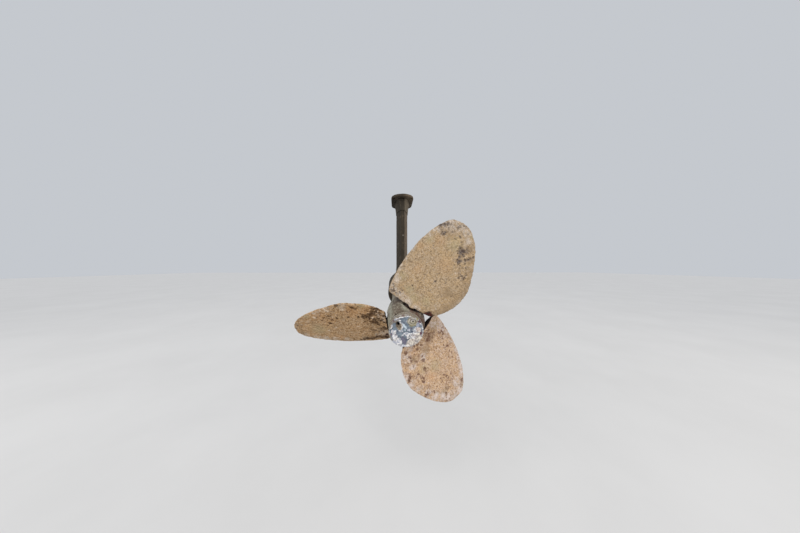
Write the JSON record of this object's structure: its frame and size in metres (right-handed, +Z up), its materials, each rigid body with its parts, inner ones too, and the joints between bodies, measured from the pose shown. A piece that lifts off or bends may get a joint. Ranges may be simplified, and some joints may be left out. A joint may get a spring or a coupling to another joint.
{
  "type": "ship propeller",
  "caption": "Feathering yacht propeller with flat ovoid blades and a worn zinc anode, on its shaft in a strut bracket that bolts up under a hull.",
  "frame": {"origin": "middle of the strut palm's flat top face, which bolts up against the hull", "axes": "+Z up into the hull, +Y forward along the boat, +X to starboard; the shaft falls 14.5 degrees going aft"},
  "size_m": [0.3876, 0.4791, 0.5404],
  "materials": {
    "antifouling": "matt dark antifouling paint, worn",
    "fairing": "matt painted filler",
    "bearing_brass": "machined",
    "bearing_rubber": "moulded",
    "stainless": "machined, dulled",
    "hub_bronze": "cast bronze under grey-brown deposits",
    "blade_bronze": "cast bronze under a granular tan crust",
    "zinc": "eroded zinc with white oxide"
  },
  "bodies": {
    "bracket": {"strut_palm": "antifouling", "strut_fairing": "fairing", "strut_leg": "antifouling", "strut_barrel": "antifouling", "bearing_shell": "bearing_brass", "bearing_rubber": "bearing_rubber", "bearing_screw_1": "stainless", "bearing_screw_2": "stainless"},
    "rotor": {"propeller_shaft": "stainless", "shaft_nut": "bearing_brass", "hub_front_half": "hub_bronze", "hub_rear_half": "hub_bronze", "hub_bolt_1": "stainless", "hub_bolt_2": "stainless", "hub_bolt_3": "stainless", "anode": "zinc", "anode_washer_1": "stainless", "anode_washer_3": "stainless", "anode_washer_4": "stainless", "anode_screw_1": "stainless", "anode_screw_3": "stainless", "anode_screw_4": "stainless", "blade_bush_1": "hub_bronze", "blade_bush_2": "hub_bronze", "blade_bush_3": "hub_bronze"},
    "first_blade": {"blade_1": "blade_bronze"},
    "second_blade": {"blade_2": "blade_bronze"},
    "third_blade": {"blade_3": "blade_bronze"}
  },
  "joints": [
    {"name": "shaft_spin", "type": "hinge", "parent": "bracket", "child": "rotor", "pos_m": [0, -0.22171, -0.33734], "axis": [0, -0.9681, -0.2504], "continuous": true},
    {"name": "blade_1_pitch", "type": "hinge", "parent": "rotor", "child": "first_blade", "pos_m": [0, -0.22171, -0.33734], "axis": [-0.4035, 0.2291, -0.8858], "range_deg": [0, 125.4]},
    {"name": "blade_2_pitch", "type": "hinge", "parent": "rotor", "child": "second_blade", "pos_m": [0, -0.22171, -0.33734], "axis": [0.9942, -0.027, 0.1046], "range_deg": [0, 125.4]},
    {"name": "blade_3_pitch", "type": "hinge", "parent": "rotor", "child": "third_blade", "pos_m": [0, -0.22171, -0.33734], "axis": [-0.5906, -0.202, 0.7813], "range_deg": [0, 125.4]}
  ],
  "couplings": [
    {"joint": "blade_2_pitch", "follows": "blade_1_pitch", "ratio": 1},
    {"joint": "blade_3_pitch", "follows": "blade_1_pitch", "ratio": 1}
  ]
}
